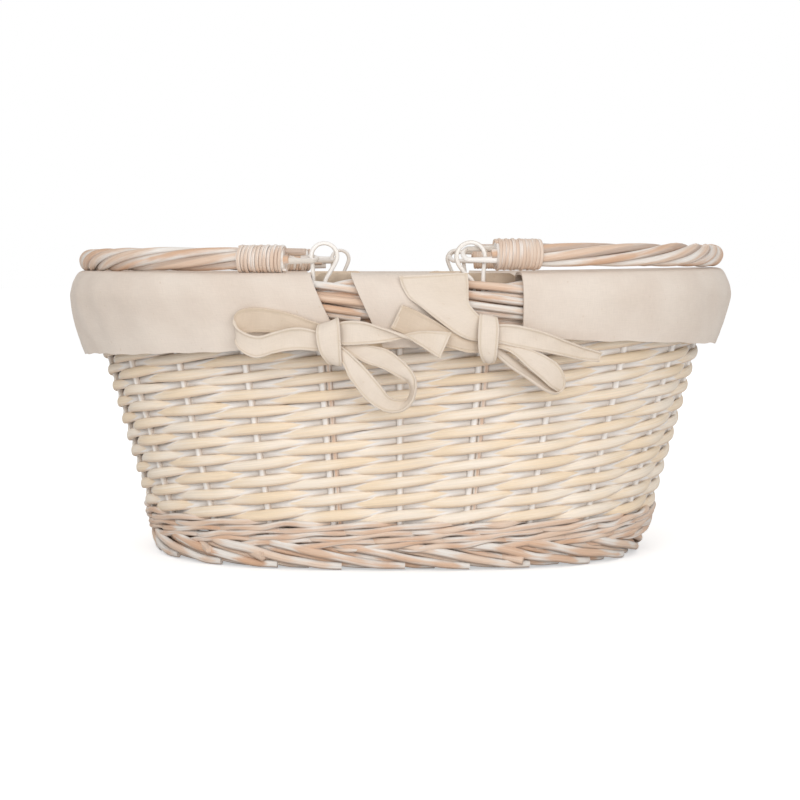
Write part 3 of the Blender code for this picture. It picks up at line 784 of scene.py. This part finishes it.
def add_eye(side, place):
    """A doubled cane out of the binding, whose round end hangs in the rim ring."""
    row = HANDLES[side]
    tilt = row["eye_tilt"]
    outward = ENDS[side]
    y = WAYS[place] * RING_Y
    body = f"handle_{side}"
    level = middle_height(f"{body}_eye_{place}")
    mouth = row["binding_x"][0]
    axes = (abs(row["end_x"]), HOOP_HALF_DEPTH)
    middle = WAYS[place] * superellipse(hoop_angle(side, mouth), axes)[1]
    turn_x = row["bar_x"] + outward * EYE_HALF_WIDTH
    legs = [[(mouth + outward * 0.006, middle + way * 0.0036, level + way * tilt),
             (mouth, middle + way * 0.0038, level + way * tilt)] for way in (-1.0, 1.0)]
    bend = [(turn_x - outward * EYE_HALF_WIDTH * math.cos(swing),
             y + EYE_HALF_WIDTH * math.sin(swing), level + tilt * math.sin(swing))
            for swing in math.pi * (np.arange(5) / 4.0 - 0.5)]
    path = smooth(legs[0] + bend + legs[1][::-1], 70)
    from_bar = np.abs(np.linspace(-1.0, 1.0, 70))
    size = EYE_CANE_RADIUS + 0.0005 * np.clip((from_bar - 0.35) / 0.4, 0.0, 1.0)
    skin = Skin()
    skin.strand(path, np.array((0.0, 0.0, 1.0)), size,
                size * (1.0 + wander(1100, 70, 0.05, 4.0)), crest=0.1, tone=0.3)
    skin.build(f"{body}_cane_eye_{place}", CANE, "cane", [f"{body}_eye_{place}"], body)


def add_rim_ring(side, place):
    """A cane bent into a ring whose two ends go down into the rim border."""
    row = HANDLES[side]
    low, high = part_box(f"rim_ring_{place}_{side}")
    radius = row["rings"][place]
    centre_z = high.z - 0.0096 - 0.6 * abs(0.0080 - radius)
    straight, swept = row["legs"]
    knots = [(straight, low.z), (straight, centre_z - 0.0140),
             (0.93 * radius, centre_z - 0.45 * radius)]
    for step in range(8):
        angle = math.radians(205.0 * step / 7.0)
        knots.append((radius * math.cos(angle), centre_z + radius * math.sin(angle)))
    knots += [(-0.45 * radius, centre_z - 0.0098), (swept, centre_z - 0.0160), (swept, low.z)]
    knots = [(row["ring_x"] + ENDS[side] * across,
              WAYS[place] * RING_Y - 0.0006 + 0.0001 * index, height)
             for index, (across, height) in enumerate(knots)]
    path = smooth(knots, 90)
    skin = Skin()
    size = RING_CANE_RADIUS * (1.0 + wander(1200, 90, 0.06, 4.0))
    skin.strand(path, np.array((0.0, -1.0, 0.0)), size, size, crest=0.1, tone=0.3)
    skin.build(f"rim_cane_ring_{place}_{side}", CANE, "cane", [f"rim_ring_{place}_{side}"])


def add_handles():
    for side in HANDLES:
        add_hoop(side)
        for place in WAYS:
            add_binding(side, place)
            add_eye(side, place)
            add_rim_ring(side, place)


# ---- cotton lining ----
def front_share(x):
    """Share of the way round where the front of the collar reaches x."""
    shares = np.linspace(-0.25, 0.25, 2001)
    return float(np.interp(x, plan(shares, (RIM.x, RIM.y))[0], shares))


def slot_window(share):
    """One where the collar is cut away for the rings, fading to nothing under the collar."""
    window = np.zeros_like(share)
    for low, high in FRONT_SLOTS:
        middle = front_share((low + high) / 2.0)
        half = front_share(high) - middle
        for turn in (0.0, 0.5):
            apart = np.abs(np.mod(share - middle - turn + 0.5, 1.0) - 0.5)
            window = np.maximum(window, np.clip((half + 0.010 - apart) / 0.008, 0.0, 1.0))
    return window


def add_lining_bag():
    """A bag that follows the inside of the wall and lies on the base."""
    share = np.linspace(0.0, 1.0, 360, endpoint=False)[:, None]
    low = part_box("lining_bag")[0].z + 0.0008
    top = RIM.z - 0.0085 + 0.0130 * slot_window(share)
    wall = np.linspace(0.0, 1.0, 46)[None, :]
    z = top + (low + 0.006 - top) * wall
    folds = ripple(share * INNER_LENGTH, z * 0.25, 31, 0.0016, 0.045)
    folds = folds + ripple(share * INNER_LENGTH, z, 32, 0.0009, 0.09)
    folds = -np.abs(folds) * np.sin(math.pi * np.clip(wall, 0.04, 1.0)) ** 0.5
    high_axes = np.array((RIM.x, RIM.y)) - 0.0215
    low_axes = np.array(WEAVE_LOW[:2]) - 0.0160
    last_axes = np.array((0.004, 0.003))
    points = []
    for column in range(wall.shape[1]):
        axes = high_axes + (low_axes - high_axes) * wall[0, column]
        spots, _ = on_outline(share[:, 0], z[:, column], folds[:, column], axes)
        points.append(spots)
    for inward in np.concatenate(([0.004, 0.010], np.linspace(0.018, 0.122, 27))):
        shrink = 1.0 - inward / 0.126
        x, y = plan(share[:, 0], last_axes + (low_axes - last_axes) * shrink)
        sag = 0.0035 * max(0.0, 1.0 - inward / 0.010)
        creases = np.abs(ripple(x, y, 33, 0.0012, 0.06)) * (1.0 - shrink ** 4)
        points.append(np.stack([x, y, low + sag + creases], axis=-1))
    grid = np.stack(points, axis=1)
    on_base = np.arange(grid.shape[1]) >= wall.shape[1]
    height = grid[..., 2]
    around = np.stack([share * ROUND_LENGTH + 0.0 * height, height, 0.0 * height], axis=-1)
    flat = np.where(on_base[None, :, None], grid, around)
    mesh = shell("lining_cloth", grid, 0.0004, closed=True, flat=flat)
    # The lining inside the basket takes the darker cotton, as painted shade.
    mesh.materials.append(COTTON_PAINTED_SHADE)
    piece = place("lining_cloth", mesh, "cotton", ["lining_bag"])


def collar_section(share, hem):
    """Section of the collar, inside up, over the border and down to the hem."""
    side = math.sin(math.tau * share)
    at_end = side ** 2
    outset = 0.0023 - 0.0040 * at_end - 0.19 * (RIM.z - 0.0155 - hem)
    crown = 0.0040 + (0.0033 if side > 0.0 else 0.0014) * at_end
    knots = ((-0.0236, RIM.z - 0.0170), (-0.0238, RIM.z - 0.0080),
             (-0.0222, RIM.z - 0.0046 + crown), (-0.0180, RIM.z - 0.0007 + crown),
             (-0.0105, RIM.z + crown), (-0.0035, RIM.z - 0.0009 + crown),
             (0.0004, RIM.z - 0.0010), (0.0020, RIM.z - 0.0065), (0.0023, RIM.z - 0.0130),
             (0.5 * (0.0018 + outset) + 0.0012 * at_end, 0.5 * (RIM.z - 0.0150 + hem)),
             (outset, hem))
    return smooth(knots, COLLAR_COLUMNS)


def add_collar_panel(name, start, end, slants, hem, seed):
    """One hemmed panel of the turned-over lining, between two slots for the rings."""
    rows = max(40, int((end - start) * 420))
    place_along = np.linspace(0.0, 1.0, rows)
    column = np.arange(COLLAR_COLUMNS)
    v = np.linspace(0.0, COLLAR_WIDTH, COLLAR_COLUMNS)
    outer = np.clip((column - 22) / 20.0, 0.0, 1.0)
    grid = np.zeros((rows, COLLAR_COLUMNS, 3))
    for row, along in enumerate(place_along):
        middle = start + (end - start) * along
        section = collar_section(middle, hem + HEM_LIFT * math.cos(math.tau * middle) ** 2)
        down = np.clip((RIM.z - section[:, 1]) / 0.045, -0.1, 1.0)
        down = np.where(column < 24, -0.1, down)
        share = middle + (slants[0] * (1.0 - along) + slants[1] * along) * down
        u = middle * ROUND_LENGTH
        folds = ripple(u, v, seed, 0.0010, 0.070) + ripple(u, v * 0.4, seed + 1, 0.0005, 0.028)
        folds = folds * (0.25 + 0.75 * outer)
        hem_wave = ripple(u, 0.0 * v, seed + 2, 0.0006, 0.030) * np.clip(down, 0.0, 1.0) ** 2
        grid[row], _ = on_rim(share, section[:, 1] + hem_wave, section[:, 0] + folds)
    edge = np.minimum(place_along, 1.0 - place_along)[:, None] * rows
    half = CLOTH * (0.5 + 0.35 * np.exp(-(edge / 2.0) ** 2)) * np.ones((rows, COLLAR_COLUMNS))
    half[:, -6:] *= 1.35
    mesh = shell(name, grid, half)
    mesh.materials.append(COTTON)
    piece = place(name, mesh, "cotton", [name.replace("_cloth", "")])


def add_collar():
    """Four panels, the rear and left ones half a turn on from the front and right ones."""
    slots = [map(front_share, slot) for slot in FRONT_SLOTS]
    (left_low, left_high), (right_low, right_high) = slots
    for name, turn, seed in (("front", 0.0, 41), ("rear", 0.5, 44)):
        add_collar_panel(f"collar_{name}_cloth", left_high + turn, right_low + turn,
                         (COLLAR_SLANT, 0.0), HEMS["left"], seed)
    for name, turn, seed in (("right", 0.0, 47), ("left", 0.5, 50)):
        add_collar_panel(f"collar_{name}_end_cloth", right_high + turn, left_low + 0.5 + turn,
                         (0.0, COLLAR_SLANT), HEMS[name], seed)


# Each ribbon in tenths of a millimetre: x, height and distance out from the collar along one
# edge and then along the other, from the knot outwards or round the loop.
RIBBONS = {
    "left_loop": (
        (-427, 1556, 10, -427, 1434, 10), (-537, 1587, 10, -531, 1453, 10),
        (-640, 1624, 10, -634, 1483, 10), (-744, 1651, 10, -738, 1508, 10),
        (-872, 1666, 12, -866, 1514, 15), (-970, 1654, 25, -958, 1502, 30),
        (-1016, 1605, 50, -1000, 1459, 55), (-982, 1538, 78, -964, 1398, 80),
        (-872, 1495, 86, -872, 1361, 86), (-762, 1520, 84, -769, 1389, 80),
        (-671, 1544, 76, -671, 1407, 74), (-592, 1547, 70, -586, 1410, 65),
        (-500, 1526, 60, -494, 1404, 55), (-427, 1502, 50, -427, 1404, 45),
    ),
    "left_knot": (
        (-476, 1544, 10, -390, 1563, 10), (-497, 1556, 50, -372, 1602, 50),
        (-506, 1514, 96, -363, 1563, 92), (-500, 1453, 104, -357, 1477, 100),
        (-482, 1392, 98, -354, 1392, 94), (-439, 1340, 70, -351, 1331, 70),
        (-409, 1331, 25, -360, 1325, 25), (-409, 1373, 5, -366, 1367, 5),
    ),
    "left_tail": (
        (-421, 1550, 40, -421, 1453, 40), (-360, 1581, 60, -360, 1441, 60),
        (-293, 1590, 74, -293, 1441, 70), (-207, 1581, 78, -201, 1447, 72),
        (-122, 1553, 84, -104, 1456, 70), (-37, 1523, 94, -24, 1471, 66),
        (37, 1489, 98, 37, 1499, 56), (110, 1444, 96, 122, 1526, 60),
        (177, 1401, 94, 213, 1526, 66), (238, 1361, 90, 311, 1517, 70),
    ),
    "left_lower": (
        (-421, 1416, 30, -396, 1465, 40), (-348, 1337, 65, -335, 1422, 70),
        (-302, 1239, 76, -232, 1331, 80), (-207, 1114, 74, -128, 1212, 70),
        (-116, 1050, 70, -61, 1129, 45), (-43, 1032, 72, 6, 1105, 10),
        (30, 1053, 74, 52, 1114, -10), (85, 1117, 66, 67, 1166, -12),
        (101, 1215, 48, 49, 1221, 0), (73, 1288, 36, -12, 1248, 20),
        (6, 1358, 40, -110, 1300, 36), (-85, 1419, 44, -220, 1337, 44),
        (-207, 1441, 44, -305, 1389, 44), (-323, 1444, 36, -366, 1428, 36),
    ),
    "right_flap": (
        (-6, 1858, 8, 409, 1877, 8), (12, 1794, 14, 414, 1831, 12),
        (55, 1724, 22, 415, 1758, 16), (128, 1669, 30, 418, 1700, 24),
        (232, 1587, 46, 445, 1657, 34), (335, 1511, 56, 473, 1627, 46),
        (415, 1474, 54, 500, 1605, 46), (500, 1459, 36, 531, 1575, 36),
    ),
    "right_tail_inner": (
        (512, 1453, 20, 512, 1398, 20), (427, 1474, 26, 427, 1395, 26),
        (354, 1505, 30, 360, 1407, 30), (274, 1550, 32, 262, 1434, 30),
        (189, 1602, 30, 140, 1465, 26), (98, 1651, 24, 37, 1502, 22),
        (12, 1685, 18, -58, 1541, 16),
    ),
    "right_knot": (
        (500, 1575, 10, 567, 1563, 10), (482, 1624, 50, 586, 1602, 50),
        (473, 1563, 88, 598, 1550, 88), (470, 1489, 98, 594, 1477, 98),
        (473, 1416, 92, 588, 1410, 92), (494, 1358, 66, 579, 1358, 66),
        (519, 1340, 22, 555, 1340, 22), (512, 1392, 4, 549, 1386, 4),
    ),
    "right_tail": (
        (537, 1550, 40, 537, 1459, 40), (598, 1566, 60, 598, 1453, 60),
        (677, 1566, 68, 677, 1434, 66), (781, 1547, 66, 775, 1413, 62),
        (885, 1517, 56, 866, 1395, 50), (994, 1474, 44, 976, 1373, 36),
        (1116, 1428, 32, 1104, 1343, 24), (1244, 1389, 26, 1226, 1328, 20),
    ),
    "right_lower": (
        (525, 1428, 20, 537, 1453, 30), (592, 1373, 66, 604, 1416, 12),
        (671, 1306, 72, 701, 1343, 4), (769, 1242, 74, 805, 1264, 0),
        (860, 1178, 74, 891, 1197, 4), (933, 1142, 68, 945, 1154, 20),
        (982, 1151, 64, 964, 1157, 46), (1006, 1203, 68, 945, 1166, 66),
        (1000, 1258, 74, 909, 1187, 76), (964, 1319, 78, 854, 1236, 80),
        (891, 1370, 78, 781, 1297, 80), (787, 1413, 70, 695, 1377, 74),
        (671, 1438, 60, 628, 1416, 60), (549, 1453, 40, 543, 1434, 40),
    ),
}


RIBBON_LIFT = 20.0  # added to all their heights

# Share of a ribbon's faces, from the first, that take the darker cotton as painted shade, where the
# loop's inside and a tail lie in shadow.
SHADED_SHARES = {"left_loop": 0.235, "right_tail_inner": 0.45}


def on_front(points):
    """World places for (x, height, out) rows of a ribbon at the front of the collar."""
    points = (points + (0.0, RIBBON_LIFT, 0.0)) / 10000.0
    inside = 1.0 - np.abs(points[:, 0] / (RIM.x + 0.0021)) ** SQUARENESS
    touch = (RIM.y + 0.0021) * inside ** (1.0 / SQUARENESS)
    return np.stack([points[:, 0], -touch - points[:, 2], points[:, 1]], axis=1)


def ribbon_mesh(name, edges, turned, seed):
    """A folded tape between two edges, with thick stitched rims and a soft middle."""
    edges = np.array(edges)
    both = np.hstack([on_front(edges[:, :3]), on_front(edges[:, 3:])])
    rough = smooth(both, 200)
    length = distances((rough[:, :3] + rough[:, 3:]) / 2.0)[-1]
    rows = max(20, int(length / 0.0011))
    both = smooth(both, rows)
    one, other = both[:, :3], both[:, 3:]
    across = np.array((0.0, 0.03, 0.07, 0.11, 0.15, 0.20, 0.28, 0.37, 0.46, 0.54, 0.63, 0.72,
                       0.80, 0.85, 0.89, 0.93, 0.97, 1.0))
    part = across[None, :, None]
    grid = one[:, None, :] * (1.0 - part) + other[:, None, :] * part
    normal = unit(np.cross(np.gradient(grid, axis=0), np.gradient(grid, axis=1)))
    soft = np.sin(math.pi * across)[None, :]
    u = np.linspace(0.0, length, rows)[:, None]
    folds = ripple(u, across[None, :] * 0.012, seed, 0.0005, 0.022) * soft
    grid = grid + normal * (0.0006 * soft + folds)[..., None]
    edge = np.minimum(across, 1.0 - across)
    half = 0.00045 + 0.00050 * (edge < 0.12)[None, :] + 0.0 * u
    half[:, (0, -1)] *= 0.55
    if turned:
        grid = grid * (-1.0, -1.0, 1.0)
    width = float(np.median(np.linalg.norm(one - other, axis=1)))
    return shell(name, grid, half, SEAM_INSET), width, length


def add_ribbon(name, ribbon, turned, seed, replaced):
    mesh, width, length = ribbon_mesh(name, RIBBONS[ribbon], turned, seed)
    mesh.materials.append(COTTON_TAPE)
    # The first faces get the darker cotton, as painted shade.
    mesh.materials.append(COTTON_PAINTED_FOLD_SHADE)
    shaded = SHADED_SHARES.get(ribbon, 0.0) * len(mesh.polygons)
    for face in mesh.polygons[:int(shaded)]:
        face.material_index = 1
    piece = place(name, mesh, "cotton", replaced)


def add_bows():
    """Two tied bows at the front, and the same two turned half round at the rear."""
    for bow, other in (("left", "right"), ("right", "left")):
        ribbons = [ribbon for ribbon in RIBBONS if ribbon.startswith(bow)]
        for node, turned in ((f"bow_front_{bow}", False), (f"bow_rear_{other}", True)):
            for index, ribbon in enumerate(ribbons):
                add_ribbon(ribbon.replace(bow, node), ribbon, turned, 70 + index,
                           [node] if index == 1 else ())


# ---- stage ----
def light_up(tree, target, seen, lighting):
    """Feed a strength that looks bright to the camera and lights the basket more softly."""
    ray = tree.nodes.new("ShaderNodeLightPath")
    strength = tree.nodes.new("ShaderNodeMapRange")
    strength.inputs["To Min"].default_value = lighting
    strength.inputs["To Max"].default_value = seen
    tree.links.new(ray.outputs["Is Camera Ray"], strength.inputs["Value"])
    tree.links.new(strength.outputs[0], target)


def add_stage():
    """A wide white floor and a white world, for the photograph's plain background."""
    mesh = bpy.data.meshes.new("floor")
    size = 14.0
    mesh.from_pydata([(-size, -size, 0.0), (size, -size, 0.0), (size, size, 0.0),
                      (-size, size, 0.0)], [], [(0, 1, 2, 3)])
    white = Nodes("floor_white").finish((0.80, 0.80, 0.80, 1.0), 0.9)
    glow = white.node_tree.nodes["Principled BSDF"].inputs
    glow["Emission Color"].default_value = (1.0, 1.0, 1.0, 1.0)
    light_up(white.node_tree, glow["Emission Strength"], 0.52, 0.0)
    mesh.materials.append(white)
    floor = bpy.data.objects.new("floor", mesh)
    bpy.context.scene.collection.objects.link(floor)
    world = bpy.data.worlds.new("studio")
    bpy.context.scene.world = world
    world.use_nodes = True
    sky = world.node_tree.nodes["Background"].inputs
    light_up(world.node_tree, sky["Strength"], 1.0, 0.62)
    sky["Color"].default_value = (1.0, 1.0, 1.0, 1.0)


def add_area_light(name, location, size, power):
    light = bpy.data.lights.new(name, "AREA")
    light.shape = "RECTANGLE"
    light.size = size[0]
    light.size_y = size[1]
    light.energy = power
    lamp = bpy.data.objects.new(name, light)
    lamp.location = location
    aim = Vector((0.0, 0.0, LAMP_AIM)) - Vector(location)
    lamp.rotation_euler = aim.to_track_quat("-Z", "Y").to_euler()
    bpy.context.scene.collection.objects.link(lamp)


def add_lights():
    add_area_light("key", (-0.6, -1.9, 1.2), (1.2, 1.2), 11.8)
    add_area_light("fill", (0.7, -2.1, 0.45), (1.2, 0.8), 11.4)
    add_area_light("back", (0.3, 2.3, 1.0), (1.6, 1.2), 9.0)


def add_camera():
    camera = bpy.data.cameras.new("camera")
    camera.lens = CAMERA_LENS
    camera.sensor_width = 36.0
    view = bpy.data.objects.new("camera", camera)
    view.location = (0.0, -CAMERA_DISTANCE, CAMERA_HEIGHT)
    view.rotation_euler = (math.radians(90.0) - CAMERA_DIP, 0.0, 0.0)
    bpy.context.scene.collection.objects.link(view)
    bpy.context.scene.camera = view


def main():
    bpy.context.scene.view_settings.view_transform = "Standard"
    add_base()
    add_stakes()
    add_side_weave()
    add_wale("bottom_wale", 0.0020, 3, 300)
    add_wale("top_wale", 0.0034, 2, 360)
    add_foot_border()
    add_rim_border()
    add_handles()
    add_lining_bag()
    add_collar()
    add_bows()
    add_stage()
    add_lights()
    add_camera()


main()
